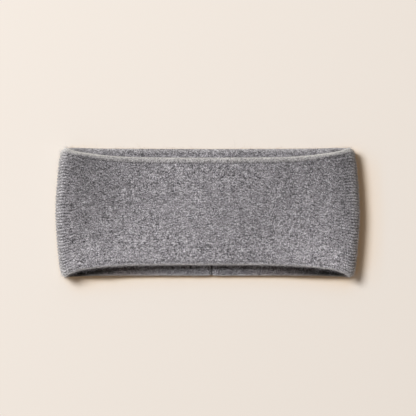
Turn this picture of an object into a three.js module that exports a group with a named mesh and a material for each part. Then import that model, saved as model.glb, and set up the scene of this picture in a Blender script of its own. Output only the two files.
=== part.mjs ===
// A knitted ear warmer headband lying flat: one double-thick strip of knit bent into a loop, its two ends
// sewn together at the middle of the back. Lengths are in millimetres. X runs from fold to fold, Y across
// the knit and Z up from the surface that the back lies on.
import * as THREE from "three";
import { LoftGeometry } from "three/addons/geometries/LoftGeometry.js";

// Overall sizes of the loop lying flat
const flatWidth = 240;
const foldHeight = 102.6;
const foldThickness = 14;

// The knitted wall, and the groove that sets off the rim along each of its edges
const wallThickness = 3.2;
const upperRimWidth = 4.7;
const lowerRimWidth = 3.4;
const grooveWidth = 2.6;
const grooveDepth = 0.45;
const innerGrooveShare = 0.5;
const foldGrooveShare = 0.35;

// How far the middle of each fold stands out beyond its corners, and how sharply it rounds off
const foldBow = 4.4;
const bowPower = 1.6;

// How far the upper layer sinks, along its middle line and along its edges. A high power keeps the sag wide
// and steep beside the folds, and a low one makes it gather slowly.
const middleSag = 3;
const middleSagPower = 8;
const edgeSag = 2.4;
const edgeSagPower = 2;
const edgeSagEase = 2.5;

// The sewn join at the back
const seamX = 3;
const seamWidth = 1.2;
const seamClearance = 0.3;
const seamSink = 0.4;

// How many steps the loop and the wall's outline are drawn with
const backSteps = 9;
const foldSteps = 16;
const frontSteps = 46;
const roundSteps = 4;
const grooveSteps = 4;
const faceSteps = 6;

// Where the two edges of the strip run. Each row gives the distance from the fold as a share of half the
// flat width, counted below zero on the back and above zero on the front, and how far the upper and the
// lower edge stand from the middle line, as shares of half the fold height.
const edgeRows = [
  { fromFold: -1, upper: 0.981, lower: 0.975 },
  { fromFold: -0.5, upper: 0.984, lower: 0.973 },
  { fromFold: -0.25, upper: 0.989, lower: 0.976 },
  { fromFold: -0.1, upper: 0.998, lower: 0.988 },
  { fromFold: -0.035, upper: 0.99, lower: 0.994 },
  { fromFold: 0, upper: 0.953, lower: 0.97 },
  { fromFold: 0.03, upper: 0.997, lower: 0.994 },
  { fromFold: 0.065, upper: 0.978, lower: 0.956 },
  { fromFold: 0.095, upper: 0.957, lower: 0.93 },
  { fromFold: 0.125, upper: 0.941, lower: 0.906 },
  { fromFold: 0.165, upper: 0.925, lower: 0.881 },
  { fromFold: 0.23, upper: 0.906, lower: 0.864 },
  { fromFold: 0.31, upper: 0.882, lower: 0.843 },
  { fromFold: 0.38, upper: 0.868, lower: 0.831 },
  { fromFold: 0.5, upper: 0.854, lower: 0.819 },
  { fromFold: 0.7, upper: 0.846, lower: 0.811 },
  { fromFold: 1, upper: 0.843, lower: 0.81 },
];

const halfWidth = flatWidth / 2;
const halfHeight = foldHeight / 2;
const foldRadius = foldThickness / 2;
const halfWall = wallThickness / 2;
const bendRadius = foldRadius - halfWall;
const straightHalf = halfWidth - foldRadius;
const seamSlotHalf = seamWidth / 2 + seamClearance;
const quarterTurn = Math.PI / 2;

// Values at evenly spaced shares from 0 to 1
function evenly(count, at) {
  return Array.from({ length: count + 1 }, (unused, i) => at(i / count));
}

// The steepness of the curve at each row, kept flat at a peak so that no curve swings past its rows
function rowSlopes(column) {
  const rises = edgeRows.slice(1).map((row, i) => {
    const run = row.fromFold - edgeRows[i].fromFold;
    return (row[column] - edgeRows[i][column]) / run;
  });
  return edgeRows.map((row, i) => {
    const before = rises[Math.max(i - 1, 0)];
    const after = rises[Math.min(i, rises.length - 1)];
    return before * after <= 0 ? 0 : (2 * before * after) / (before + after);
  });
}

const edgeSlopes = { upper: rowSlopes("upper"), lower: rowSlopes("lower") };

// An edge's distance from the middle line, read from a smooth curve through the rows
function edgeAt(fromFold, column) {
  const share = THREE.MathUtils.clamp(fromFold / halfWidth, -1, 1);
  const next = edgeRows.findIndex((row) => row.fromFold >= share);
  const i = Math.max(next, 1) - 1;
  const start = edgeRows[i];
  const end = edgeRows[i + 1];
  const run = end.fromFold - start.fromFold;
  const t = (share - start.fromFold) / run;
  const eased = t * t * (3 - 2 * t);
  const leaving = t * (1 - t) * (1 - t) * run * edgeSlopes[column][i];
  const arriving = t * t * (t - 1) * run * edgeSlopes[column][i + 1];
  const value = start[column] + (end[column] - start[column]) * eased + leaving + arriving;
  return value * halfHeight;
}

// How far the upper layer has sunk at a place on it: its edges hang from the corners, and its middle line
// drops off the folds and then lies level
function sagAt(x, acrossShare) {
  const alongShare = Math.min(Math.abs(x) / straightHalf, 1);
  const middle = middleSag * (1 - alongShare ** middleSagPower) ** 2;
  const edge = edgeSag * (1 - alongShare ** edgeSagPower) ** edgeSagEase;
  return edge + (middle - edge) * (1 - acrossShare ** 2);
}

// How far a fold is drawn in at a place across the knit
function bowAt(x, acrossShare) {
  const towardsFold = (Math.abs(x) / halfWidth) ** 3;
  return Math.sign(x) * foldBow * towardsFold * Math.abs(acrossShare) ** bowPower;
}

// A place on the loop's middle line where it runs straight, with the outer face turned down on the back
// and up on the front
function straightPlace(x, facing) {
  return {
    x,
    z: foldRadius + facing * bendRadius,
    outX: 0,
    outZ: facing,
    sinks: facing > 0 ? 1 : 0,
    fromFold: facing * (halfWidth - Math.abs(x)),
  };
}

// A place on the loop's middle line in a fold, turned up from the fold's outermost line
function foldPlace(side, turn) {
  const outX = side * Math.cos(turn);
  const outZ = Math.sin(turn);
  return {
    x: side * straightHalf + outX * bendRadius,
    z: foldRadius + outZ * bendRadius,
    outX,
    outZ,
    sinks: 0,
    fromFold: Math.sign(turn) * foldRadius * (1 - Math.cos(turn)),
  };
}

// The rows of a rim from its tip to where the plain face starts: how far each lies in from the edge, how
// full the wall is there and how deep the groove is
function rimRows(rimWidth, thin, sink) {
  const round = evenly(roundSteps, (t) => ({
    inset: sink + thin * (1 - Math.cos(t * quarterTurn)),
    full: Math.sin(t * quarterTurn),
    dip: 0,
  }));
  const groove = evenly(grooveSteps, (t) => ({
    inset: rimWidth + grooveWidth * (t - 0.5),
    full: 1,
    dip: (1 - Math.cos(t * 2 * Math.PI)) / 2,
  }));
  return [...round.slice(1), ...groove];
}

// The wall's outline, from the upper edge down the inner face and back up the outer face. Each point is
// a distance from the middle line and a distance out from the middle of the wall.
function wallOutline(upper, lower, sink, grooveShare) {
  const thin = halfWall - sink;
  const upperRows = rimRows(upperRimWidth, thin, sink).map((row) => ({ ...row, y: upper - row.inset }));
  const lowerRows = rimRows(lowerRimWidth, thin, sink).map((row) => ({ ...row, y: row.inset - lower }));
  const faceTop = upperRows[upperRows.length - 1].y;
  const faceBottom = lowerRows[lowerRows.length - 1].y;
  const face = evenly(faceSteps, (t) => ({ full: 1, dip: 0, y: THREE.MathUtils.lerp(faceTop, faceBottom, t) }));
  const rows = [...upperRows, ...face.slice(1, -1), ...lowerRows.reverse()];
  const depth = grooveDepth * grooveShare;
  const inner = rows.map((row) => [row.y, row.dip * depth * innerGrooveShare - row.full * thin]);
  const outer = rows.map((row) => [row.y, row.full * thin - row.dip * depth]).reverse();
  return [[upper - sink, 0], ...inner, [sink - lower, 0], ...outer];
}

// The wall's outline stood up at one place on the loop. A fullness of 0 presses it flat onto the middle of
// the wall, and the flat wall that this leaves closes an end of the strip.
function wallSection(place, sink, fullness = 1) {
  const upper = edgeAt(place.fromFold, "upper");
  const lower = edgeAt(place.fromFold, "lower");
  const towardsFold = (1 - Math.abs(place.fromFold) / halfWidth) ** 4;
  const grooveShare = THREE.MathUtils.lerp(1, foldGrooveShare, towardsFold);
  return wallOutline(upper, lower, sink, grooveShare).map(([y, fullOut]) => {
    const out = fullOut * fullness;
    const acrossShare = y / halfHeight;
    const x = place.x + out * place.outX - bowAt(place.x, acrossShare);
    const z = place.z + out * place.outZ - place.sinks * sagAt(place.x, acrossShare);
    return new THREE.Vector3(x, y, z);
  });
}

// A closed solid that follows the places, with a flat wall at each end
function wallAlong(places, sink) {
  const start = wallSection(places[0], sink, 0);
  const end = wallSection(places[places.length - 1], sink, 0);
  return new LoftGeometry([start, ...places.map((place) => wallSection(place, sink)), end]);
}

// The loop starts at the right of the join, runs round the right fold, over the front and round the left
// fold, and ends at the left of the join. Its steps lie closer together near the folds.
const rightStart = seamX + seamSlotHalf;
const leftEnd = seamX - seamSlotHalf;
const backRight = evenly(backSteps, (t) => {
  return straightPlace(THREE.MathUtils.lerp(rightStart, straightHalf, Math.sin(t * quarterTurn)), -1);
});
const rightFold = evenly(foldSteps, (t) => foldPlace(1, (2 * t - 1) * quarterTurn));
const front = evenly(frontSteps, (t) => straightPlace(straightHalf * Math.cos(t * Math.PI), 1));
const leftFold = evenly(foldSteps, (t) => foldPlace(-1, (1 - 2 * t) * quarterTurn));
const backLeft = evenly(backSteps, (t) => {
  return straightPlace(THREE.MathUtils.lerp(leftEnd, -straightHalf, Math.cos(t * quarterTurn)), -1);
});
const loopPlaces = [
  ...backRight,
  ...rightFold.slice(1, -1),
  ...front,
  ...leftFold.slice(1, -1),
  ...backLeft,
];

const bandMaterial = new THREE.MeshStandardMaterial({
  name: "wool_knit",
  color: new THREE.Color().setRGB(0.53, 0.52, 0.525, THREE.SRGBColorSpace),
  roughness: 0.95,
  metalness: 0,
});
const band = new THREE.Mesh(wallAlong(loopPlaces, 0), bandMaterial);
band.name = "band";

// The join stands between the two ends of the strip, a little below both faces and both edges
const seamSides = [seamX - seamWidth / 2, seamX + seamWidth / 2];
const seamPlaces = seamSides.map((x) => straightPlace(x, -1));
const seamMaterial = new THREE.MeshStandardMaterial({
  name: "seam_yarn",
  color: new THREE.Color().setRGB(0.45, 0.44, 0.445, THREE.SRGBColorSpace),
  roughness: 0.95,
  metalness: 0,
});
const backSeam = new THREE.Mesh(wallAlong(seamPlaces, seamSink), seamMaterial);
backSeam.name = "back_seam";

const headband = new THREE.Group();
headband.name = "ear_warmer_headband";
headband.add(band, backSeam);

export default headband;
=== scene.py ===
# %% [markdown]
# # A knitted ear warmer headband, lying flat
# The headband is one long strip of soft grey knit, bent into a loop and sewn at the middle of the back. Here it lies
# pressed flat on a pale surface, seen from straight above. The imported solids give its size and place, and this script
# gives it its stitches, its woolly surface, its seam and its fuzz.

import bpy
import numpy as np
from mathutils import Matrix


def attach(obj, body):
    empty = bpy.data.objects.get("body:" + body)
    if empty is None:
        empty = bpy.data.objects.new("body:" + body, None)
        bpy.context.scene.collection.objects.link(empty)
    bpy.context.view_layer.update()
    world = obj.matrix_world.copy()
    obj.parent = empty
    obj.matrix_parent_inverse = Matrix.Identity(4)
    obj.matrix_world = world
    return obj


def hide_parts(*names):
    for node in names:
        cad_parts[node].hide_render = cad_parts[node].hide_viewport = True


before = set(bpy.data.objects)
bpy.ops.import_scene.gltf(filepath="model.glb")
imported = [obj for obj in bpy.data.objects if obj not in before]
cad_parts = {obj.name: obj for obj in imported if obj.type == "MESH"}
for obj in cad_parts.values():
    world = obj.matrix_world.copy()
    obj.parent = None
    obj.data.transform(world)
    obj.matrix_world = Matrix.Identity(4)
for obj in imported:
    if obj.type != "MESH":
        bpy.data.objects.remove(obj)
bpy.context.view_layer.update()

# %% [markdown]
# ## The camera
# The picture is taken from straight above with a long lens, so both folds look alike and the height of the band hardly
# moves its edges. The lens is worked out from the width that the picture has to show, and the camera's place from how
# far the band lies off the picture's middle.

# %% Camera straight above
MM = 0.001
PICTURE_PIXELS = 416
MM_PER_PIXEL = 0.788
PICTURE_MIDDLE_MM = (0.3, 3.55)
CAMERA_HEIGHT_MM = 2300.0
SHARP_HEIGHT_MM = 10.0

camera = bpy.data.objects.new("camera", bpy.data.cameras.new("camera"))
bpy.context.scene.collection.objects.link(camera)
camera.location = (PICTURE_MIDDLE_MM[0] * MM, PICTURE_MIDDLE_MM[1] * MM, CAMERA_HEIGHT_MM * MM)
picture_width_mm = PICTURE_PIXELS * MM_PER_PIXEL
camera.data.lens = camera.data.sensor_width * (CAMERA_HEIGHT_MM - SHARP_HEIGHT_MM) / picture_width_mm
bpy.context.scene.camera = camera
print("lens in mm:", round(camera.data.lens, 1), "picture width in mm:", round(picture_width_mm, 1))

# %% [markdown]
# ## The band's own sizes
# These are the sizes of the solid band: the pressed loop, its wall, its rims and the join at the back. The two edges
# of the strip follow a short table. Each row gives a distance from the fold, below zero on the back and above zero on
# the front, as a share of half the width, and how far the upper and the lower edge stand from the middle line there,
# as shares of half the height at the folds.
#
# Two things differ from the solids. The rims are softer and a little narrower and the grooves beside them deeper, as
# they are in knit. And the slack lower edge of the back curls up off the surface by a few millimetres, most of all near
# its corners, which gives it its soft shadow. The solids keep it flat, so that the space for the head stays free.

# %% Sizes in millimetres
# The pressed loop and its wall
FLAT_WIDTH = 240.0
FOLD_HEIGHT = 102.6
FOLD_THICKNESS = 14.0
WALL = 3.2

# The widths of the rims, and the groove beside each of them
UPPER_RIM, LOWER_RIM = 4.6, 2.6
GROOVE_WIDTH, GROOVE_DEPTH = 2.4, 0.75

# How far the folds bow out, and how far the front sags along its middle and along its edges
FOLD_BOW, BOW_POWER = 4.4, 1.6
MIDDLE_SAG, MIDDLE_SAG_POWER = 3.0, 8.0
EDGE_SAG, EDGE_SAG_POWER, EDGE_SAG_EASE = 2.4, 2.0, 2.5

# The middle of the join, and the slot between the two ends of the strip, which stand closer here than in the solids
SEAM_X, SEAM_SLOT = 3.0, 1.0

# The curl of the back's lower edge: its height all along, and what it gains towards the left and the right corner
CURL, LEFT_CURL, RIGHT_CURL = 2.0, 3.2, 2.5

# Where it gains most and over what length, how far in from the edge it starts, and how far from a fold it is full
CORNER_CURL_X, CURL_SPREAD, CURL_REACH, CURL_EASE = 90.0, 24.0, 8.0, 10.0

EDGE_COLUMNS = ("from_fold", "upper", "lower")
EDGE_ROWS = np.array([
    (-1.000, 0.981, 0.975),
    (-0.500, 0.984, 0.973),
    (-0.250, 0.989, 0.976),
    (-0.100, 0.998, 0.988),
    (-0.035, 0.990, 0.994),
    (0.000, 0.953, 0.970),
    (0.030, 0.997, 0.994),
    (0.065, 0.978, 0.956),
    (0.095, 0.957, 0.930),
    (0.125, 0.941, 0.906),
    (0.165, 0.925, 0.881),
    (0.230, 0.906, 0.864),
    (0.310, 0.882, 0.843),
    (0.380, 0.868, 0.831),
    (0.500, 0.854, 0.819),
    (0.700, 0.846, 0.811),
    (1.000, 0.843, 0.810),
])
half_width, half_height, half_wall = FLAT_WIDTH / 2, FOLD_HEIGHT / 2, WALL / 2
fold_radius = FOLD_THICKNESS / 2
bend_radius = fold_radius - half_wall
straight_half = half_width - fold_radius
loop_length = 4 * straight_half + 2 * np.pi * bend_radius
print("length round the loop in mm:", round(loop_length, 1), "edge table columns:", EDGE_COLUMNS)

# %% Three simple curves


def hill(value, middle, reach):
    """A smooth hill, 1 at its middle: e to the minus square of the distance from the middle over the reach."""
    return np.exp(-(((value - middle) / reach) ** 2))


def ramp(value, start, end):
    """A straight rise from 0 at the start to 1 at the end, level before and after."""
    return np.clip((value - start) / (end - start), 0, 1)


def between(share, low, high):
    """The value a share of the way from low to high."""
    return low + (high - low) * share


print("a hill at 0, 1 and 2 reaches:", np.round(hill(np.arange(3.0), 0, 1), 2))

# %% [markdown]
# ## Walking round the loop
# Every piece of knit is placed by two numbers: how far one has walked round the loop, and how far across the wall's
# outline. The walk starts at the middle of the back and goes to the right, up over the right fold, along the front to
# the left, down the left fold and back. The edge table is read with a smooth curve that never swings past its rows.

# %% Edges of the strip


def row_slopes(column):
    """The steepness at each row: the harmonic mean of the slopes on its two sides, or zero where they disagree."""
    rises = np.diff(EDGE_ROWS[:, column]) / np.diff(EDGE_ROWS[:, 0])
    before, after = np.r_[rises[0], rises], np.r_[rises, rises[-1]]
    agree = before * after > 0
    return np.where(agree, 2 * before * after / np.where(agree, before + after, 1), 0)


def edge_distance(from_fold, column):
    """Distance of an edge from the middle line: a cubic between two rows that has the rows' values and slopes."""
    share = np.clip(from_fold / half_width, -1, 1)
    i = np.clip(np.searchsorted(EDGE_ROWS[:, 0], share) - 1, 0, len(EDGE_ROWS) - 2)
    run = EDGE_ROWS[i + 1, 0] - EDGE_ROWS[i, 0]
    t = (share - EDGE_ROWS[i, 0]) / run
    low, high, slope = EDGE_ROWS[i, column], EDGE_ROWS[i + 1, column], row_slopes(column)
    value = low + (high - low) * t * t * (3 - 2 * t)
    value = value + t * (1 - t) * run * ((1 - t) * slope[i] - t * slope[i + 1])
    return value * half_height


# %% The loop's middle line


def loop_place(walk):
    """x, z, the way out, the distance from the fold and whether it is the front, at a walk round the loop.

    The loop is five runs laid end to end: straight, half circle, straight, half circle, straight.
    """
    back_right = straight_half
    right_fold = back_right + np.pi * bend_radius
    front = right_fold + 2 * straight_half
    left_fold = front + np.pi * bend_radius
    parts = [walk < back_right, walk < right_fold, walk < front, walk < left_fold]
    down, up = np.full_like(walk, -np.pi / 2), np.full_like(walk, np.pi / 2)
    turns = [down, down + (walk - back_right) / bend_radius, up, up + (walk - front) / bend_radius]
    turn = np.select(parts, turns, down)
    side = np.select(parts, [walk * 0, walk * 0 + 1, walk * 0, walk * 0 - 1], 0)
    straights = [walk, walk * 0, straight_half - (walk - right_fold), walk * 0]
    straight_x = np.select(parts, straights, walk - loop_length)
    out_x, out_z = np.cos(turn), np.sin(turn)
    x = np.where(side == 0, straight_x, side * straight_half + out_x * bend_radius)
    in_fold = np.sign(out_z) * fold_radius * (1 - np.abs(out_x))
    from_fold = np.where(side == 0, np.sign(out_z) * (half_width - np.abs(straight_x)), in_fold)
    out_x = np.where(side == 0, 0.0, out_x)
    on_front = parts[2] & ~parts[1]
    return x, fold_radius + out_z * bend_radius, out_x, out_z, from_fold, on_front


test_walk = np.array([0.0, straight_half, loop_length / 2, loop_length])
print("x at the back, the fold, the front and the back again:", np.round(loop_place(test_walk)[0], 2))

# %% [markdown]
# ## The wall's outline
# Cut across, the wall is a long flat oval: two flat faces joined by a round rim at each edge, with a shallow groove
# beside each rim. A share from 0 to 1 runs over one face from the upper edge to the lower edge, at even steps of real
# length, so that the knit lines keep their spacing from the face right over the rims. A point can be lifted off the
# wall, along the outline's own outward direction.

# %% A point on the wall


def edge_thinning(distance, reach):
    """How much an edge is thinner than the flat wall: a quarter circle's height less a longer quarter oval's."""
    circle = np.sqrt(1 - (1 - np.clip(distance / half_wall, 0, 1)) ** 2)
    oval = np.sqrt(1 - (1 - np.clip(distance / reach, 0, 1)) ** 2)
    return half_wall * (circle - oval)


def outline_point(upper, lower, share, lift):
    """y and out for a share over one face: a quarter circle, a straight and a quarter circle laid end to end."""
    quarter = half_wall * np.pi / 2
    straight = upper + lower - 2 * half_wall
    length = share * (straight + 2 * quarter)
    left = straight + 2 * quarter - length
    first = np.clip(length / half_wall, 0, np.pi / 2)
    last = np.clip(left / half_wall, 0, np.pi / 2)
    middle = np.clip(length - quarter, 0, straight)
    face_y, face_out = np.cos(first) - np.cos(last), np.minimum(np.sin(first), np.sin(last))
    y = upper - half_wall - middle + half_wall * face_y + lift * face_y
    return y, face_out * (half_wall + lift)


def edge_curl(x, y, lower, from_fold):
    """How far the back's lower edge curls up: the square of the nearness to the edge times the height there."""
    near_edge = np.clip(1 - (y + lower) / CURL_REACH, 0, 1) ** 2
    clear_of_fold = np.clip(-from_fold / CURL_EASE, 0, 1)
    left_gain = LEFT_CURL * hill(x, -CORNER_CURL_X, CURL_SPREAD)
    right_gain = RIGHT_CURL * hill(x, CORNER_CURL_X, CURL_SPREAD)
    return (CURL + left_gain + right_gain) * near_edge * clear_of_fold**2 * (3 - 2 * clear_of_fold)


def wall_point(walk, share, side, lift, fullness=1.0):
    """A point in millimetres on the outer (side 1) or inner (side -1) face: the loop with its bow, sag and curl."""
    x, z, out_x, out_z, from_fold, on_front = loop_place(walk)
    upper, lower = edge_distance(from_fold, 1), edge_distance(from_fold, 2)
    y, out = outline_point(upper, lower, share, lift)
    out = out * side * fullness
    across = y / half_height
    bow = np.sign(x) * FOLD_BOW * (np.abs(x) / half_width) ** 3 * np.abs(across) ** BOW_POWER
    along = np.minimum(np.abs(x) / straight_half, 1)
    middle_sag = MIDDLE_SAG * (1 - along**MIDDLE_SAG_POWER) ** 2
    edge_sag = EDGE_SAG * (1 - along**EDGE_SAG_POWER) ** EDGE_SAG_EASE
    sag = on_front * (edge_sag + (middle_sag - edge_sag) * (1 - across**2))
    height = z + out * out_z - sag + edge_curl(x, y, lower, from_fold)
    return np.stack([x + out * out_x - bow, y, height], axis=-1)


def rim_distances(walk, share):
    """How far a place lies from the upper and the lower edge, measured straight across the face, and from the fold."""
    from_fold = loop_place(walk)[4]
    upper, lower = edge_distance(from_fold, 1), edge_distance(from_fold, 2)
    quarter = half_wall * np.pi / 2
    whole = upper + lower - 2 * half_wall + 2 * quarter
    straight_across = [
        np.where(length < quarter, half_wall * (1 - np.cos(length / half_wall)), length - quarter + half_wall)
        for length in (share * whole, whole - share * whole)
    ]
    return straight_across[0], straight_across[1], from_fold


def dip(distance, middle, width):
    """A raised cosine: 1 at the middle of a groove and 0 beyond half its width."""
    wave = 0.5 + 0.5 * np.cos(2 * np.pi * (distance - middle) / width)
    return np.where(np.abs(distance - middle) < width / 2, wave, 0)


middle_share, outer_side = np.full(1, 0.5), 1
print("the fold's outermost point in mm:", np.round(wall_point(
    np.array([straight_half + np.pi * bend_radius / 2]), middle_share, outer_side, 0.0), 2))

# %% [markdown]
# ## Putting a surface into a mesh
# A surface is a grid of points with a row for each step of the walk and a column for each step across. Each cell of
# the grid becomes one four-sided face. The helpers also store where each point is in the knit, and a few values for
# each point, such as how much painted shade the knit's hollows take there. The material reads them.

# %% Mesh helpers


def link_mesh(name, mesh):
    """Puts a finished mesh into the scene as a piece that moves with the band."""
    piece = bpy.data.objects.new(name, mesh)
    bpy.context.scene.collection.objects.link(piece)
    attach(piece, "root")
    return piece


def mesh_of(name, points_mm, faces, **values):
    """A smooth mesh from points in millimetres and rows of equal-sized faces, with a stored value for each name."""
    mesh = bpy.data.meshes.new(name)
    corners = faces.shape[1]
    mesh.vertices.add(len(points_mm))
    mesh.vertices.foreach_set("co", (points_mm * MM).astype(np.float32).ravel())
    mesh.loops.add(faces.size)
    mesh.loops.foreach_set("vertex_index", faces.astype(np.int32).ravel())
    mesh.polygons.add(len(faces))
    mesh.polygons.foreach_set("loop_start", np.arange(0, faces.size, corners, dtype=np.int32))
    mesh.polygons.foreach_set("use_smooth", np.ones(len(faces), dtype=bool))
    for key, value in values.items():
        store = mesh.attributes.new(key, "FLOAT", "POINT")
        store.data.foreach_set("value", np.asarray(value, dtype=np.float32).ravel())
    mesh.update(calc_edges=True)
    return mesh


def grid_faces(rows, columns, turned=False):
    """The four corners of every cell of a grid whose points are numbered along its rows."""
    start = (np.arange(rows - 1)[:, None] * columns + np.arange(columns - 1)[None, :]).ravel()
    faces = np.stack([start, start + 1, start + columns + 1, start + columns], axis=1)
    return faces[:, ::-1] if turned else faces


def store_uv(mesh, uv):
    """Gives each face corner the place of its point in the knit."""
    layer = mesh.uv_layers.new(name="knit")
    corner_points = np.empty(len(mesh.loops), dtype=np.int32)
    mesh.loops.foreach_get("vertex_index", corner_points)
    layer.data.foreach_set("uv", uv.reshape(-1, 2)[corner_points].astype(np.float32).ravel())


# %% [markdown]
# ## The stitches
# The band is knitted in stocking stitch. Seen close, each knit line is a chain of small V shapes: two slanting legs of
# yarn that meet in the middle of the line. The lines run along the strip, 45 of them on each face. One stitch is four
# points across and two along: the points across fall on the border between two lines, on the crest of a leg, on the
# hollow between the legs and on the other leg, and the two points along fall between two legs and on a leg. Pushing
# each column of points along the line by its place in the V slants the faces with the yarn, so a few faces are enough
# to show the legs. Round the folds the knit is stretched, so there the stitches open into ribs. Small random
# differences keep it all from looking machined.

# %% Stitch grid
LINES = 45
STITCHES = 276
LEG_SLANT = 0.95

# How far each point of a stitch lies above the wall, in millimetres: on flat knit, and round a fold
YARN_RELIEF = np.array([
    # border, leg, middle, leg
    (-0.66, -0.48, -0.56, -0.48),  # between one leg and the next
    (-0.34, 0.00, -0.22, 0.00),  # on a leg
])
FOLD_RELIEF = np.array([
    (-0.85, 0.05, 0.12, 0.05),
    (-0.75, 0.30, 0.30, 0.30),
])
EDGE_RELIEF = -0.06
FOLD_REACH = 9.5

# How far in from each edge the wall thins, and how much the rims flatten the stitches
UPPER_ROUNDING, LOWER_ROUNDING = 3.4, 5.0
RIM_SMOOTHING = 0.5

# Random differences: the plumpness of each leg, and slow swells that push the stitches and bend the lines
LEG_VARIETY, UNEVEN_PUSH, LINE_DRIFT = 0.35, 0.16, 0.4
PUSH_WAVES_MM, DRIFT_WAVES_MM = (31, 47, 83, 19), (23, 41, 67)
PUSH_SEED, DRIFT_SEED = 11, 29

# How much of the groove's depth there is beside the lower rim and on the inner face, and how much the folds take off
LOWER_GROOVE, INNER_GROOVE, FOLD_GROOVE_LOSS = 0.6, 0.5, 0.35

# The two ends of the strip: rows without a push, the rounding of the ends, and the valley that the seam pulls in
END_ROWS = 5
SEAM_ROUNDING, SEAM_VALLEY, SEAM_VALLEY_REACH, VALLEY_AT_TOP = 0.7, 0.75, 0.95, 0.2

# The depths at which a point starts to take painted shade as hollow and is quite hollow, and the painted shade in ribs
# and grooves
HOLLOW_START, HOLLOW_FULL, RIB_HOLLOW, GROOVE_HOLLOW = 0.1, 0.7, 0.9, 0.9

rng = np.random.default_rng(7)
print("one stitch in mm:", round(loop_length / STITCHES, 2), "along,", round(FOLD_HEIGHT / LINES, 2), "across")

# %% Slow random swells


def wandering(walk, share, waves_mm, seed):
    """A slow random swell from -1 to 1: the mean of sine waves that run in different directions across the knit."""
    draw = np.random.default_rng(seed)
    swell = 0
    for length_mm in waves_mm:
        angle, phase = draw.uniform(0, 2 * np.pi, 2)
        run = walk * np.cos(angle) + share * FOLD_HEIGHT * np.sin(angle)
        swell = swell + np.sin(2 * np.pi * run / length_mm + phase)
    return swell / len(waves_mm)


# %% One face of the knit


def knit_surface(side):
    """One face's points, knit places and stored values: a grid pushed into V shapes, then lifted by the relief."""
    rows, columns = np.arange(2 * STITCHES + 1)[:, None], np.arange(4 * LINES + 1)[None, :]
    inside = (columns > 0) & (columns < 4 * LINES)
    slant = 1 - np.abs(2 * (columns % 4) / 4 - 1)
    ends = np.minimum(rows, 2 * STITCHES - rows)
    settle = np.clip(ends / END_ROWS, 0, 1)

    # Where each point is: along the line with the V's slant, across it with a slow drift
    start, run = SEAM_X + SEAM_SLOT / 2, loop_length - SEAM_SLOT
    stitch_run = run / STITCHES
    uneven = wandering(rows * stitch_run / 2, columns / (4 * LINES), PUSH_WAVES_MM, PUSH_SEED + side)
    push = slant * LEG_SLANT + UNEVEN_PUSH * uneven * inside - LEG_SLANT / 2
    walk = np.clip(start + (rows / 2 + push * settle) * stitch_run, start, start + run)
    drift = wandering(walk, columns / (4 * LINES), DRIFT_WAVES_MM, DRIFT_SEED + side) * inside
    share = np.broadcast_to((columns + LINE_DRIFT * drift) / (4 * LINES), walk.shape)
    from_upper, from_lower, from_fold = rim_distances(walk, share)

    # How far it stands off the wall
    folded = hill(from_fold, 0, FOLD_REACH)
    on_rim = np.clip(1 - np.minimum(from_upper / UPPER_RIM, from_lower / LOWER_RIM), 0, 1)
    relief = between(folded, YARN_RELIEF[rows % 2, columns % 4], FOLD_RELIEF[rows % 2, columns % 4])
    plump = rng.uniform(-1, 1, (STITCHES + 1, 2 * LINES + 1))[rows // 2, columns // 2]
    relief = relief * (1 + LEG_VARIETY * plump * inside) * (1 - RIM_SMOOTHING * on_rim)
    relief = np.where(inside, relief, EDGE_RELIEF)
    from_seam = ends * stitch_run / 2
    fullness = np.sqrt(1 - (1 - np.clip(from_seam / SEAM_ROUNDING, 0, 1)) ** 2)
    valley = SEAM_VALLEY * between(share, VALLEY_AT_TOP, 1) * hill(from_seam, 0, SEAM_VALLEY_REACH)
    grooves = dip(from_upper, UPPER_RIM, GROOVE_WIDTH) + LOWER_GROOVE * dip(from_lower, LOWER_RIM, GROOVE_WIDTH)
    grooves = grooves * (1 - FOLD_GROOVE_LOSS * (1 - np.abs(from_fold) / half_width) ** 4)
    grooves = grooves * (1.0 if side > 0 else INNER_GROOVE)
    thinning = edge_thinning(from_upper, UPPER_ROUNDING) + edge_thinning(from_lower, LOWER_ROUNDING)
    lift = relief - GROOVE_DEPTH * grooves - valley - thinning
    points = wall_point(walk, share, side, lift, fullness)
    points[..., 2] = np.maximum(points[..., 2], 0)

    # What the material reads: painted shade in the hollows, fuzz with painted highlight, painted light and shade, and
    # painted warmth
    hollow = ramp(-relief, HOLLOW_START, HOLLOW_FULL) * (1 + RIB_HOLLOW * folded)
    hollow = np.maximum(hollow, np.clip(grooves, 0, 1) * GROOVE_HOLLOW)
    place = np.stack(np.broadcast_arrays(rows / 2.0, columns / 4.0), axis=-1)
    x = loop_place(walk)[0]
    nap = outside_nap if side > 0 else inside_nap
    values = {
        "hollow": hollow,
        "fuzzy": raised_fuzz(from_upper, from_lower, from_fold),
        "nap": nap(x, from_upper, from_lower, from_fold),
        "warmth": shade_warmth(x, from_upper, from_lower, from_fold) * (side < 0),
    }
    return points, place, values


# %% [markdown]
# ## Fuzz, painted light and shade, and painted warm shade over the knit
# Three soft changes lie over the stitches, and each is stored as one value a point. Light fuzz is raised where the
# knit rubs: along the rims, at the corners and on the folds, and there it is partly a painted highlight. Painted light
# and shade makes some places lighter and others darker: the front is darker near its upper corners and lighter near
# the lower ones, with a few broad swells. Inside the band painted shade also darkens the pockets near the corners,
# where little light gets in. And there the colour is tinted warmer, a painted stand-in for the light that is thrown
# back and forth between the layers.

# %% Raised fuzz and painted rim highlight
FRONT_EASE = 3.0
# Near the upper corners the rim's fuzz band is narrower and gains more painted highlight
NARROW_RIM_AT, NARROW_RIM_REACH, RIM_NARROWING, RIM_GAIN = 20.0, 16.0, 1.6, 0.5
UPPER_WIDE_SHARE, UPPER_WIDE_POWER, UPPER_TIP, LOWER_TIP = 0.6, 0.7, 1.4, 1.5

# The fuzz at the tips of the upper and the lower rim, on the back and on the front
UPPER_FUZZ, LOWER_FUZZ = (0.20, 0.85), (0.15, 0.40)

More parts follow.
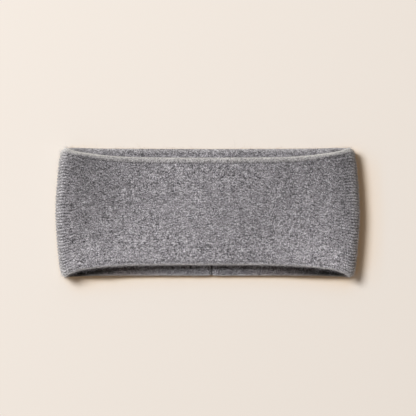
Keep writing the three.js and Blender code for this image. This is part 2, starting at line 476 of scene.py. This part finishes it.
# The fuzz at the upper and the lower corners, and along the folds, with the reach of each
CORNER_REACH = 9.0
UPPER_CORNER, UPPER_CORNER_REACH = 0.32, 5.0
LOWER_CORNER, LOWER_CORNER_REACH = 0.30, 6.0
FOLD_FUZZ, FOLD_FUZZ_REACH = 0.17, 4.0


def front_share(from_fold):
    """A soft step round the fold, from 0 on the back to 1 on the front."""
    return 1 / (1 + np.exp(-from_fold / FRONT_EASE))


def raised_fuzz(from_upper, from_lower, from_fold):
    """How much light fuzz lies over the stitches, partly real fuzz and partly painted highlight: a wide band and a
    narrow tip on the rims, plus corners and folds.
    """
    front = front_share(from_fold)
    near_corner = hill(from_fold, NARROW_RIM_AT, NARROW_RIM_REACH)
    wide = np.clip(1 - from_upper / (UPPER_RIM - RIM_NARROWING * near_corner), 0, 1) ** UPPER_WIDE_POWER
    upper_tip = between(UPPER_WIDE_SHARE, np.clip(1 - from_upper / UPPER_TIP, 0, 1), wide)
    upper_tip = upper_tip * between(front, *UPPER_FUZZ) * (1 + RIM_GAIN * near_corner)
    lower_tip = np.clip(1 - from_lower / LOWER_TIP, 0, 1) * between(front, *LOWER_FUZZ)
    upper_corner = UPPER_CORNER * hill(from_upper, 0, UPPER_CORNER_REACH)
    lower_corner = LOWER_CORNER * hill(from_lower, 0, LOWER_CORNER_REACH)
    corner = hill(from_fold, 0, CORNER_REACH) * (upper_corner + lower_corner)
    return upper_tip + lower_tip + corner + FOLD_FUZZ * hill(from_fold, 0, FOLD_FUZZ_REACH)


# %% Painted light and shade on the front
OUTSIDE_TONE = 1.06
# Broad swells of painted light and shade along the front
NAP_SWELLS = np.array([
    # middle x, reach, change
    (-95.0, 20.0, -0.08),
    (-32.0, 38.0, 0.12),
    (36.0, 20.0, -0.06),
    (78.0, 22.0, 0.04),
    (113.0, 12.0, -0.25),
])

# The stretch towards the ends, as shares of half the width, in which these changes grow
END_STRETCH = (0.3, 0.8)
# Painted light towards the lower edge, more of it towards the ends, and painted shade at the ends
LOWER_LIGHT, LOWER_LIGHT_AT_ENDS, ENDS_DARKER = 0.07, 0.19, 0.09

# A painted lighter stretch above the lower edge, and how it turns into its opposite at the fold
GLOW, GLOW_AT, GLOW_REACH, GLOW_LOSS, GLOW_LOSS_REACH = 0.22, 11.0, 8.0, 1.6, 9.0

# How the left fold keeps from being painted dark above, and both folds from being painted light below
LEFT_LIFT, LEFT_LIFT_REACH, FOLD_LOSS, FOLD_LOSS_REACH = 1.2, 10.0, 0.35, 8.0


def towards_lower(from_upper, from_lower):
    """Where a place lies between the edges: -1 at the upper edge, 1 at the lower one."""
    return (from_upper - from_lower) / (from_upper + from_lower)


def outside_nap(x, from_upper, from_lower, from_fold):
    """How light the outer face is painted: its tone plus painted light and shade on the front, the swells, the light
    below and the dark above.
    """
    down = towards_lower(from_upper, from_lower)
    at_end = ramp(np.abs(x) / half_width, *END_STRETCH)
    swells = sum(change * hill(x, middle, reach) for middle, reach, change in NAP_SWELLS)
    glow = GLOW * at_end * hill(from_lower, GLOW_AT, GLOW_REACH)
    glow = glow * (1 - GLOW_LOSS * hill(from_fold, 0, GLOW_LOSS_REACH))
    least = -1 + LEFT_LIFT * hill(from_fold, 0, LEFT_LIFT_REACH)
    down = np.where(x < 0, np.maximum(down, least), down)
    down = down - FOLD_LOSS * hill(from_fold, 0, FOLD_LOSS_REACH) * np.clip(down, 0, 1)
    change = down * (LOWER_LIGHT + LOWER_LIGHT_AT_ENDS * at_end) - ENDS_DARKER * at_end + swells + glow
    return OUTSIDE_TONE + front_share(from_fold) * change


# %% Painted light and shade inside the band, and the painted warm shade
INSIDE_TONE = -0.03
# A painted lighter band on both sides of the seam
SEAM_GLOW, SEAM_GLOW_AT, SEAM_GLOW_REACH = 0.2, 3.0, 2.4

# The painted shade of the dark pocket below the upper corners: how far round the fold and how far in from the edge its
# middle lies
POCKET, POCKET_ROUND, POCKET_ROUND_REACH, POCKET_IN, POCKET_IN_REACH = 0.62, -13.0, 9.0, 2.6, 2.4

# The hem along the lower edge is painted light in the middle of the back, a painted highlight, and painted dark towards
# its corners, a painted shade
HEM_LIGHT, HEM_LIGHT_REACH, HEM_DARK, HEM_DARK_REACH, HEM_STRETCH = 0.2, 1.1, 0.28, 4.0, (60.0, 90.0)

# The painted shade of the lower half, what it gains towards both ends, and what it gains more on the right
LOW_SHADE, LOW_SHADE_AT_ENDS, LOW_SHADE_RIGHT, RIGHT_STRETCH = 0.38, 0.32, 0.12, (40.0, 80.0)
# The stretch over which the painted warm shade grows towards the ends
WARM_STRETCH = (0.2, 0.55)


def inside_nap(x, from_upper, from_lower, from_fold):
    """How light the inner face is painted: on the back, 1 plus the painted glow and the hem, less the painted shade of
    the pockets and the lower half.
    """
    beside_seam = SEAM_GLOW * hill(np.abs(x - SEAM_X), SEAM_GLOW_AT, SEAM_GLOW_REACH)
    pocket = hill(from_fold, POCKET_ROUND, POCKET_ROUND_REACH) * hill(from_upper, POCKET_IN, POCKET_IN_REACH)
    at_corner = ramp(np.abs(x), *HEM_STRETCH)
    hem = HEM_LIGHT * (1 - at_corner) * hill(from_lower, 0, HEM_LIGHT_REACH)
    hem = hem - HEM_DARK * at_corner * hill(from_lower, 0, HEM_DARK_REACH)
    low = np.clip(towards_lower(from_upper, from_lower), 0, 1)
    gain = LOW_SHADE_AT_ENDS * ramp(np.abs(x) / half_width, *END_STRETCH) + LOW_SHADE_RIGHT * ramp(x, *RIGHT_STRETCH)
    change = beside_seam + hem + INSIDE_TONE - POCKET * pocket - low * (LOW_SHADE + gain)
    return 1 + (1 - front_share(from_fold)) * change


def shade_warmth(x, from_upper, from_lower, from_fold):
    """How warm the painted shade between the layers is: on the back, most in the lower half and towards the ends."""
    low = np.clip(towards_lower(from_upper, from_lower), 0, 1)
    return (1 - front_share(from_fold)) * low * ramp(np.abs(x) / half_width, *WARM_STRETCH)


# %% Both faces of the knit
pieces = {}
for name, side in (("outer_knit", 1), ("inner_knit", -1)):
    points, place, values = knit_surface(side)
    faces = grid_faces(*points.shape[:2], turned=side > 0)
    mesh = mesh_of(name, points.reshape(-1, 3), faces, **values)
    store_uv(mesh, place)
    pieces[name] = link_mesh(name, mesh)
    print(name, "triangles:", 2 * len(faces), "z in mm:", points[..., 2].min().round(2), points[..., 2].max().round(2))

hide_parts("band")

# %% [markdown]
# ## The seam at the back
# The two ends of the strip are drawn together by a row of small stitches, one to each knit line, on both faces of the
# wall. They lie in a narrow valley, so the seam shows as a thin dark line. Each stitch is a short arch of yarn that
# rises out of one end of the strip and dives into the other, at a slant. A core of yarn fills the slot below them.

# %% Yarn along a path


def tube_points(paths, radii, sides):
    """Rings round each path: two directions square to the path, turned through a circle and scaled by the radius."""
    ahead = np.gradient(paths, axis=1)
    ahead /= np.linalg.norm(ahead, axis=2, keepdims=True)
    guide = np.where(np.abs(ahead[..., 2:]) > 0.9, [1.0, 0.0, 0.0], [0.0, 0.0, 1.0])
    across = np.cross(ahead, guide)
    across /= np.linalg.norm(across, axis=2, keepdims=True)
    up = np.cross(across, ahead)
    turn = np.arange(sides) * 2 * np.pi / sides
    ring = across[:, :, None] * np.cos(turn)[:, None] + up[:, :, None] * np.sin(turn)[:, None]
    return paths[:, :, None] + ring * radii[:, :, None, None]


def tube_faces(count, steps, sides):
    """Four-sided faces between neighbouring rings, for every path."""
    ring, corner = np.meshgrid(np.arange(steps - 1), np.arange(sides), indexing="ij")
    start, after = ring * sides + corner, ring * sides + (corner + 1) % sides
    one = np.stack([start, start + sides, after + sides, after], axis=-1).reshape(-1, 4)
    return (one[None] + (np.arange(count) * steps * sides)[:, None, None]).reshape(-1, 4)


# %% Seam stitches
STITCH_STEPS, STITCH_SIDES = 11, 8
STITCH_REACH, STITCH_RADIUS, STITCH_SLANT = 1.5, 0.3, 1.1

# The lift of an arch's top off the wall, how deep its ends dive below that, and how much thinner they are
STITCH_TOP, STITCH_DIVE, STITCH_THINNING = -0.85, 1.0, 0.35
TOP_VARIETY, SLANT_RANGE, PLACE_VARIETY = 0.06, (0.8, 1.2), 0.12

seam_edges = [float(edge_distance(np.array([-(half_width - SEAM_X)]), c)[0]) for c in (1, 2)]
seam_from_fold = SEAM_X - half_width
line_shares = (np.arange(LINES) + 0.5) / LINES
stitch_share = np.r_[line_shares, line_shares][:, None]
stitch_side = np.repeat([1, -1], LINES)[:, None]
one_each = (2 * LINES, 1)
t = np.linspace(-1, 1, STITCH_STEPS)[None, :]
arch = STITCH_TOP - STITCH_DIVE * t**2 + rng.uniform(-TOP_VARIETY, TOP_VARIETY, one_each)
lean = rng.uniform(*SLANT_RANGE, one_each) * STITCH_SLANT * t / (seam_edges[0] + seam_edges[1])
y, out = outline_point(seam_edges[0], seam_edges[1], np.clip(stitch_share + lean, 0, 1), arch)
x = SEAM_X + STITCH_REACH * t + rng.uniform(-PLACE_VARIETY, PLACE_VARIETY, one_each)
stitch_curl = edge_curl(x, y, seam_edges[1], seam_from_fold)
stitch_z = half_wall + np.maximum(-stitch_side * out, STITCH_RADIUS - half_wall) + stitch_curl
stitch_paths = np.stack([np.broadcast_to(x, y.shape), y, stitch_z], axis=-1)
stitch_radii = np.broadcast_to(STITCH_RADIUS * (1 - STITCH_THINNING * t**6), y.shape)
stitch_points = tube_points(stitch_paths, stitch_radii, STITCH_SIDES).reshape(-1, 3)
stitch_faces = tube_faces(2 * LINES, STITCH_STEPS, STITCH_SIDES)
print("seam stitches:", 2 * LINES, "from edge to edge in mm:", round(sum(seam_edges), 1))

# %% Core of the seam
CORE_WIDTH, CORE_SINK, CORE_EDGE_SINK = 1.0, 0.75, 0.2

# Across the core: how far each row lies to the side, and how much of the core's thickness it has
CORE_ROUNDING = np.array([(-0.5, 0.0), (-0.5, 0.75), (-0.22, 1.0), (0.22, 1.0), (0.5, 0.75), (0.5, 0.0)])

# The seam's tone at its upper end, how much darker its lower end is painted for the shade below the front, and the run
# over which it darkens
SEAM_TONE, SEAM_SHADE, SEAM_SHADE_RUN = 0.85, 0.65, 30.0

core_share = np.r_[np.linspace(0, 1, 2 * LINES + 1), np.linspace(1, 0, 2 * LINES + 1)[1:-1]]
core_side = np.r_[np.ones(2 * LINES + 1), -np.ones(2 * LINES - 1)]
core_y = outline_point(seam_edges[0], seam_edges[1], core_share, -CORE_EDGE_SINK)[0]
core_out = outline_point(seam_edges[0], seam_edges[1], core_share, -CORE_SINK)[1]
core_curl = edge_curl(SEAM_X, core_y, seam_edges[1], seam_from_fold)
core_shape = (len(CORE_ROUNDING), len(core_y))
core_points = np.stack([
    SEAM_X + CORE_WIDTH * np.broadcast_to(CORE_ROUNDING[:, :1], core_shape),
    np.broadcast_to(core_y, core_shape),
    half_wall - CORE_ROUNDING[:, 1:] * core_out * core_side + core_curl,
], axis=-1)
closed = np.concatenate([core_points, core_points[:, :1]], axis=1)
core_faces = grid_faces(*closed.shape[:2])
seam_points = np.concatenate([stitch_points, closed.reshape(-1, 3)])
seam_faces = np.concatenate([stitch_faces, core_faces + len(stitch_points)])
seam_nap = SEAM_TONE - SEAM_SHADE * ramp(-seam_points[:, 1], -SEAM_SHADE_RUN, SEAM_SHADE_RUN)
seam_mesh = mesh_of("seam_stitches", seam_points, seam_faces, nap=seam_nap)
pieces["seam_stitches"] = link_mesh("seam_stitches", seam_mesh)
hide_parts("back_seam")
print("seam triangles:", 2 * len(seam_faces), "top in mm:", seam_points[:, 2].max().round(2))

# %% [markdown]
# ## Fuzz
# Soft wool sheds short loose fibres that stand a little off the knit and catch the light, most of all along the
# folds and the rims. Each fibre is a thin curved spindle with a point at both ends. It starts in the knit, leans in a
# random direction and curls. None is put on the face that lies on the table.

# %% Loose fibres: where they grow
FIBRES = 10800
FACES, FACE_SHARES = (1, -1), (0.68, 0.32)
WALK_MARGIN, INSIDE_END_MARGIN = 8, 2

# The chance that a fibre is moved to a rim, how they thin out from it (a beta spread), and over what share of the face
RIM_CHANCE, RIM_SPREAD, RIM_BAND = 0.3, (1.0, 4.0), 0.05

# The chance that it is moved to a fold, over what stretch of the half circle, and a number that picks the fold
FOLD_CHANCE, FOLD_STRETCH, FOLD_PICKER = 0.12, (0.2, 1.1), 997

fibre_rng = np.random.default_rng(23)
fibre_side = fibre_rng.choice(FACES, FIBRES, p=FACE_SHARES)
fibre_walk = fibre_rng.uniform(WALK_MARGIN, loop_length - INSIDE_END_MARGIN, FIBRES)

# Fibres that would be pressed under the back go to the folds and the front
on_back = (fibre_walk < straight_half) | (fibre_walk > loop_length - straight_half)
moved = on_back & (fibre_side == 1)
free_start, free_end = straight_half + WALK_MARGIN, loop_length - straight_half - WALK_MARGIN
fibre_walk[moved] = fibre_rng.uniform(free_start, free_end, moved.sum())

# Some are gathered at the rims and some round the folds
fibre_share = fibre_rng.uniform(0, 1, FIBRES)
at_rim = fibre_rng.uniform(0, 1, FIBRES) < RIM_CHANCE
rim_share = fibre_rng.beta(*RIM_SPREAD, FIBRES) * RIM_BAND
fibre_share = np.where(at_rim, np.where(fibre_share < 0.5, rim_share, 1 - rim_share), fibre_share)
at_fold = (fibre_rng.uniform(0, 1, FIBRES) < FOLD_CHANCE) & (fibre_side == 1) & ~at_rim
fold_walk = straight_half + np.pi * bend_radius * fibre_rng.uniform(*FOLD_STRETCH, FIBRES)
on_right = fibre_share * FOLD_PICKER % 1 < 0.5
fibre_walk = np.where(at_fold, np.where(on_right, fold_walk, loop_length - fold_walk), fibre_walk)
print("fibres at the rims:", int(at_rim.sum()), "round the folds:", int(at_fold.sum()))

# %% Loose fibres: how they bend
ROOT_LIFT, AHEAD_STEP = -0.25, 0.5
FIBRE_RADIUS = 0.034
FIBRE_STEPS, FIBRE_SIDES = 4, 3
FIBRE_TAPER = np.array([0.02, 1.0, 0.8, 0.02])

# Length and rise in millimetres: the least, and a gamma spread's shape and scale on top of it
LENGTH_LEAST, LENGTH_SPREAD = 0.8, (4.0, 0.8)
RISE_LEAST, RISE_SPREAD = 0.2, (2.0, 0.22)

# How strongly a fibre curls to a side, the turn of the wave that it rises by, and the least height of any of its points
FIBRE_CURL, RISE_TURN, LOWEST_Z = 0.45, 2.4, 0.1

# Fibres near the four corners are shorter
CORNER_BOX, CORNER_LENGTH = (9.0, 6.0), 0.6

# The fibres' tone, and the painted highlight that those on the right fold gain, over a few millimetres
FIBRE_TONE, RIGHT_TONE, RIGHT_RAMP = 1.35, 0.9, (7, 2)

root = wall_point(fibre_walk, fibre_share, fibre_side, ROOT_LIFT)
out_way = wall_point(fibre_walk, fibre_share, fibre_side, ROOT_LIFT + 1) - root
ahead_way = wall_point(fibre_walk + AHEAD_STEP, fibre_share, fibre_side, ROOT_LIFT) - root
ahead_way /= np.linalg.norm(ahead_way, axis=1, keepdims=True)
across_way = np.cross(out_way, ahead_way)
lean_angle = fibre_rng.uniform(0, 2 * np.pi, FIBRES)[:, None]
lean_way = ahead_way * np.cos(lean_angle) + across_way * np.sin(lean_angle)
curl_way = np.cross(out_way, lean_way)
fibre_length = fibre_rng.gamma(*LENGTH_SPREAD, FIBRES)[:, None, None] + LENGTH_LEAST
at_end = half_width - np.abs(root[:, 0]) < CORNER_BOX[0]
at_corner = at_end & (half_height - np.abs(root[:, 1]) < CORNER_BOX[1])
fibre_length = fibre_length * np.where(at_corner, CORNER_LENGTH, 1.0)[:, None, None]
fibre_rise = fibre_rng.gamma(*RISE_SPREAD, FIBRES)[:, None, None] + RISE_LEAST
curl = fibre_rng.normal(0, FIBRE_CURL, FIBRES)[:, None, None]
t = np.linspace(0, 1, FIBRE_STEPS)[None, :, None]
fibre_paths = root[:, None] + fibre_length * (t * lean_way[:, None] + curl * t**2 * curl_way[:, None])
fibre_paths = fibre_paths + fibre_rise * np.sin(t * RISE_TURN) * out_way[:, None]
fibre_paths[..., 2] = np.maximum(fibre_paths[..., 2], LOWEST_Z)
fibre_radii = np.broadcast_to(FIBRE_RADIUS * FIBRE_TAPER, (FIBRES, FIBRE_STEPS))
fibre_points = tube_points(fibre_paths, fibre_radii, FIBRE_SIDES).reshape(-1, 3)
fibre_faces = tube_faces(FIBRES, FIBRE_STEPS, FIBRE_SIDES)
at_right = ramp(root[:, 0], half_width - RIGHT_RAMP[0], half_width - RIGHT_RAMP[1])
fibre_nap = FIBRE_TONE + RIGHT_TONE * at_right * (fibre_side > 0)
fibre_mesh = mesh_of("wool_fuzz", fibre_points, fibre_faces, nap=np.repeat(fibre_nap, FIBRE_STEPS * FIBRE_SIDES))
pieces["wool_fuzz"] = link_mesh("wool_fuzz", fibre_mesh)
print("fuzz triangles:", 2 * len(fibre_faces), "top in mm:", fibre_points[:, 2].max().round(2))

# %% [markdown]
# ## Wool colour
# The yarn is a melange: fibres dyed in light, middle and dark grey are spun together. So the knit has fine streaks
# along the yarn, flecks about as large as one leg of a stitch, and faint blotches a few stitches wide, and each leg
# has its own tone. The colour could be painted, but here it is worked out from a few noises, each of which pushes one
# tone up or down. The tone also falls in the hollows between the legs, as painted shade, and then picks a grey between
# dark, middle and light. The painted light and shade scales that grey, patches of fuzz with their painted highlight
# cover it, and the painted warm shade tints it last. One node group does all this and is used by the knit, the seam
# and the fuzz, each with its own amounts. It also gives a height, so that the fibres stand out a little from the yarn.

# %% Node helpers


def node(tree, kind, inputs=None, **settings):
    """Adds a node, sets its options by name, and fills its inputs with values or with other nodes' outputs."""
    made = tree.nodes.new(kind)
    for key, value in settings.items():
        setattr(made, key, value)
    for key, value in (inputs or {}).items():
        socket = made.inputs[key]
        if isinstance(value, bpy.types.NodeSocket):
            tree.links.new(value, socket)
        else:
            socket.default_value = value
    return made


def maths(tree, operation, *values):
    """One step of arithmetic on values or outputs, giving its result's output."""
    return node(tree, "ShaderNodeMath", dict(enumerate(values)), operation=operation).outputs[0]


def vector_maths(tree, operation, inputs):
    """One step of arithmetic on places or colours, giving its result's output."""
    return node(tree, "ShaderNodeVectorMath", inputs, operation=operation).outputs[0]


def mixed(tree, share, first, second):
    """A colour between two colours: inputs 0, 6 and 7 are the share and the two colours, and output 2 the result."""
    return node(tree, "ShaderNodeMix", {0: share, 6: first, 7: second}, data_type="RGBA").outputs[2]


def noise(tree, place, scale, detail=1.0, roughness=0.5):
    """Smooth noise around one half, at a number of bumps for each unit of the place."""
    inputs = {"Vector": place, "Scale": scale, "Detail": detail, "Roughness": roughness}
    return node(tree, "ShaderNodeTexNoise", inputs).outputs["Fac"]


def pushed(tree, tone, push, amount):
    """A tone pushed up or down: the push's distance from one half, times the amount, is added to it."""
    return maths(tree, "MULTIPLY_ADD", maths(tree, "SUBTRACT", push, 0.5), amount, tone)


def new_group(name, inputs, outputs):
    """An empty node group with named inputs, each with its kind and usual value, and named outputs."""
    group = bpy.data.node_groups.new(name, "ShaderNodeTree")
    for key, (kind, usual) in inputs.items():
        socket = group.interface.new_socket(key, in_out="INPUT", socket_type="NodeSocket" + kind)
        if usual is not None:
            socket.default_value = usual
    for key, kind in outputs.items():
        group.interface.new_socket(key, in_out="OUTPUT", socket_type="NodeSocket" + kind)
    return group, group.nodes.new("NodeGroupInput").outputs, group.nodes.new("NodeGroupOutput").inputs


# %% Melange wool group
# The greys of the yarn, the colour of its fuzz, and the tint of the painted warm shade
DARK_WOOL = (0.018, 0.0175, 0.019, 1.0)
MIDDLE_WOOL = (0.299, 0.291, 0.314, 1.0)
LIGHT_WOOL = (0.725, 0.710, 0.752, 1.0)
FUZZ_WOOL = (0.660, 0.652, 0.630, 1.0)
WARM_SHADE = (1.000, 0.900, 0.840, 1.0)
NO_TINT = (1.0, 1.0, 1.0, 1.0)

# Streaks are scaled in the knit's own lines and stitches, flecks and blotches in metres
STREAK_STRETCH, STREAK_SCALE, STREAK_DETAIL, STREAK_ROUGHNESS = (2.2, 2.2, 1.0), 1.0, 3.0, 0.6
FLECK_STRETCH, FLECK_SCALE = (1.4, 1.3, 1.0), 860.0
BLOTCH_SCALE, BLOTCH_AMOUNT = 210.0, 0.4
LEGS_A_LINE = (1.0, 2.0, 1.0)

# The tone of the middle grey, the tones of the dark and the light one, and how the flecks break up the fuzz
MIDDLE_TONE, TONE_RANGE = 0.5, (-0.22, 1.15)
FUZZ_BREAK_UP, FUZZ_LEAST = 2.6, -0.3

melange, given, result = new_group(
    "melange_wool",
    {
        "Yarn place": ("Vector", None),
        "Place": ("Vector", None),
        "Hollow": ("Float", 0.0),
        "Nap": ("Float", 1.0),
        "Fuzzy": ("Float", 0.0),
        "Warmth": ("Float", 0.0),
        "Streaks": ("Float", 1.3),
        "Flecks": ("Float", 2.6),
        "Legs": ("Float", 0.3),
        "Depth": ("Float", 0.42),
        "Dark": ("Color", DARK_WOOL),
        "Middle": ("Color", MIDDLE_WOOL),
        "Light": ("Color", LIGHT_WOOL),
        "Fuzz": ("Color", FUZZ_WOOL),
        "Warm shade": ("Color", WARM_SHADE),
    },
    {"Color": "Color", "Height": "Float"},
)
streak_place = vector_maths(melange, "MULTIPLY", {0: given["Yarn place"], 1: STREAK_STRETCH})
streak = noise(melange, streak_place, STREAK_SCALE, STREAK_DETAIL, STREAK_ROUGHNESS)
fleck = noise(melange, vector_maths(melange, "MULTIPLY", {0: given["Place"], 1: FLECK_STRETCH}), FLECK_SCALE)
blotch = noise(melange, given["Place"], BLOTCH_SCALE)
leg_place = vector_maths(melange, "MULTIPLY", {0: given["Yarn place"], 1: LEGS_A_LINE})
one_leg = vector_maths(melange, "FLOOR", {0: leg_place})
leg_tone = node(melange, "ShaderNodeTexWhiteNoise", {"Vector": one_leg}, noise_dimensions="2D").outputs["Value"]

tone = pushed(melange, MIDDLE_TONE, streak, given["Streaks"])
tone = pushed(melange, tone, fleck, given["Flecks"])
tone = pushed(melange, tone, blotch, BLOTCH_AMOUNT)
tone = pushed(melange, tone, leg_tone, given["Legs"])
tone = maths(melange, "SUBTRACT", tone, maths(melange, "MULTIPLY", given["Hollow"], given["Depth"]))
lower_range, upper_range = (TONE_RANGE[0], MIDDLE_TONE), (MIDDLE_TONE, TONE_RANGE[1])
low_half, high_half = [
    node(melange, "ShaderNodeMapRange", {"Value": tone, "From Min": start, "From Max": end}).outputs[0]
    for start, end in (lower_range, upper_range)
]
grey = mixed(melange, high_half, mixed(melange, low_half, given["Dark"], given["Middle"]), given["Light"])
napped = vector_maths(melange, "SCALE", {0: grey, "Scale": given["Nap"]})
broken_up = maths(melange, "MULTIPLY_ADD", fleck, FUZZ_BREAK_UP, FUZZ_LEAST)
fuzzed = mixed(melange, maths(melange, "MULTIPLY", given["Fuzzy"], broken_up), napped, given["Fuzz"])
shade_tint = mixed(melange, given["Warmth"], NO_TINT, given["Warm shade"])
tinted = vector_maths(melange, "MULTIPLY", {0: fuzzed, 1: shade_tint})
melange.links.new(tinted, result["Color"])
melange.links.new(streak, result["Height"])
print("melange group:", len(melange.nodes), "nodes")

# %% Knit, seam and fuzz finishes
WOOL_ROUGHNESS, WOOL_SHINE = 0.95, 0.2
SHEEN, SHEEN_ROUGHNESS = 0.25, 0.6
YARNS_A_METRE = (1500.0, 1500.0, 1500.0)
KNIT_BUMP_MM, SEAM_BUMP_MM, FUZZ_BUMP_MM = 0.16, 0.05, 0.0


def wool_material(name, amounts, bump_mm, piece_has_knit_map, stored_keys):
    """A rough wool: the melange group's colour, its height as bump, and a sheen for the finest fibres."""
    material = bpy.data.materials.new(name)
    material.use_nodes = True
    tree = material.node_tree
    surface = tree.nodes["Principled BSDF"]
    place = node(tree, "ShaderNodeTexCoord").outputs["Object"]
    if piece_has_knit_map:
        yarn_place = node(tree, "ShaderNodeUVMap", uv_map="knit").outputs[0]
    else:
        yarn_place = vector_maths(tree, "MULTIPLY", {0: place, 1: YARNS_A_METRE})
    wool = node(tree, "ShaderNodeGroup", node_tree=melange)
    tree.links.new(place, wool.inputs["Place"])
    tree.links.new(yarn_place, wool.inputs["Yarn place"])
    for key in stored_keys:
        value = node(tree, "ShaderNodeAttribute", attribute_name=key.lower()).outputs["Fac"]
        tree.links.new(value, wool.inputs[key])
    for key, value in amounts.items():
        wool.inputs[key].default_value = value
    height = {"Strength": 1.0, "Distance": bump_mm * MM, "Height": wool.outputs["Height"]}
    tree.links.new(wool.outputs["Color"], surface.inputs["Base Color"])
    tree.links.new(node(tree, "ShaderNodeBump", height).outputs[0], surface.inputs["Normal"])
    surface.inputs["Roughness"].default_value = WOOL_ROUGHNESS
    surface.inputs["Specular IOR Level"].default_value = WOOL_SHINE
    surface.inputs["Sheen Weight"].default_value = SHEEN
    surface.inputs["Sheen Roughness"].default_value = SHEEN_ROUGHNESS
    return material


seam_amounts = {"Flecks": 0.5, "Legs": 0.0}
fuzz_amounts = {"Streaks": 0.0, "Flecks": 0.8, "Legs": 0.6}
knit_finish = wool_material("wool_knit_finish", {}, KNIT_BUMP_MM, True, ("Hollow", "Nap", "Fuzzy", "Warmth"))
seam_finish = wool_material("seam_yarn_finish", seam_amounts, SEAM_BUMP_MM, False, ("Nap",))
fuzz_finish = wool_material("fuzz_finish", fuzz_amounts, FUZZ_BUMP_MM, False, ("Nap",))
for name, finish in zip(pieces, (knit_finish, knit_finish, seam_finish, fuzz_finish)):
    pieces[name].data.materials.append(finish)
print("finishes:", {name: piece.data.materials[0].name for name, piece in pieces.items()})

# %% [markdown]
# ## The table top and the light
# The band lies on a plain cream surface. One large soft light stands high on the left, a little towards the top of the
# picture, so the shadow falls narrow and soft to the right. A weak warm light from all sides fills the shadow. Close
# to the band, a painted warm shadow stands in for light that bounces between the knit and the cream surface: the
# floor's colour loses a little green and blue where less of the light's side of the sky can be seen.

# %% Floor
FLOOR_SIZE_MM = 6000.0
CREAM = (0.850, 0.800, 0.745, 1.0)
FLOOR_ROUGHNESS, FLOOR_SHINE = 0.8, 0.2

# What is left of green and blue in full shade, the shares of open sky where that ends and starts, and how far it looks
SHADE_WARMTH = (0.79, 0.54)
SHADE_EDGES = (0.3, 0.95)
SHADE_REACH_MM, SHADE_SAMPLES = 26.0, 8
LIGHT_TURN, LIGHT_HEIGHT = np.radians(145.0), np.radians(48.2)
light_way = np.array([
    np.cos(LIGHT_TURN) * np.cos(LIGHT_HEIGHT),
    np.sin(LIGHT_TURN) * np.cos(LIGHT_HEIGHT),
    np.sin(LIGHT_HEIGHT),
])

half_floor = FLOOR_SIZE_MM / 2
floor_points = np.array([(-1, -1, 0), (1, -1, 0), (1, 1, 0), (-1, 1, 0)]) * [half_floor, half_floor, 1.0]
floor = bpy.data.objects.new("floor", mesh_of("floor", floor_points, np.array([[0, 1, 2, 3]])))
bpy.context.scene.collection.objects.link(floor)
floor_finish = bpy.data.materials.new("cream_surface")
floor_finish.use_nodes = True
tree = floor_finish.node_tree
surface = tree.nodes["Principled BSDF"]
towards = node(tree, "ShaderNodeCombineXYZ", dict(zip("XYZ", light_way))).outputs[0]
sky = {"Distance": SHADE_REACH_MM * MM, "Normal": towards}
open_sky = node(tree, "ShaderNodeAmbientOcclusion", sky, samples=SHADE_SAMPLES).outputs["AO"]
shade = {"Value": open_sky, "From Min": SHADE_EDGES[0], "From Max": SHADE_EDGES[1]}
green, blue = [
    node(
        tree,
        "ShaderNodeMapRange",
        {**shade, "To Min": share * full, "To Max": full},
        interpolation_type="SMOOTHSTEP",
    ).outputs[0]
    for share, full in zip(SHADE_WARMTH, CREAM[1:3])
]
warmed = node(tree, "ShaderNodeCombineColor", {"Red": CREAM[0], "Green": green, "Blue": blue}).outputs[0]
tree.links.new(warmed, surface.inputs["Base Color"])
surface.inputs["Roughness"].default_value = FLOOR_ROUGHNESS
surface.inputs["Specular IOR Level"].default_value = FLOOR_SHINE
floor.data.materials.append(floor_finish)
print("floor in mm:", FLOOR_SIZE_MM, "warm shade out to mm:", SHADE_REACH_MM)

# %% Light
LIGHT_DISTANCE_MM, LIGHT_WIDTH_MM = 5000.0, 2100.0
LIGHT_POWER, LIGHT_COLOUR = 266.0, (1.0, 1.0, 1.0)
FILL_COLOUR, FILL_STRENGTH = (1.0, 0.86, 0.74, 1.0), 0.24

key_light = bpy.data.objects.new("key_light", bpy.data.lights.new("key_light", "AREA"))
bpy.context.scene.collection.objects.link(key_light)
key_light.data.shape = "DISK"
key_light.data.size = LIGHT_WIDTH_MM * MM
key_light.data.energy = LIGHT_POWER
key_light.data.color = LIGHT_COLOUR
key_light.location = light_way * LIGHT_DISTANCE_MM * MM
key_light.rotation_euler = (np.pi / 2 - LIGHT_HEIGHT, 0.0, LIGHT_TURN + np.pi / 2)
world = bpy.data.worlds.new("studio")
bpy.context.scene.world = world
world.use_nodes = True
world.node_tree.nodes["Background"].inputs["Color"].default_value = FILL_COLOUR
world.node_tree.nodes["Background"].inputs["Strength"].default_value = FILL_STRENGTH
bpy.context.scene.view_settings.view_transform = "Standard"
print("light from", np.round(light_way, 2), "at", LIGHT_DISTANCE_MM, "mm")
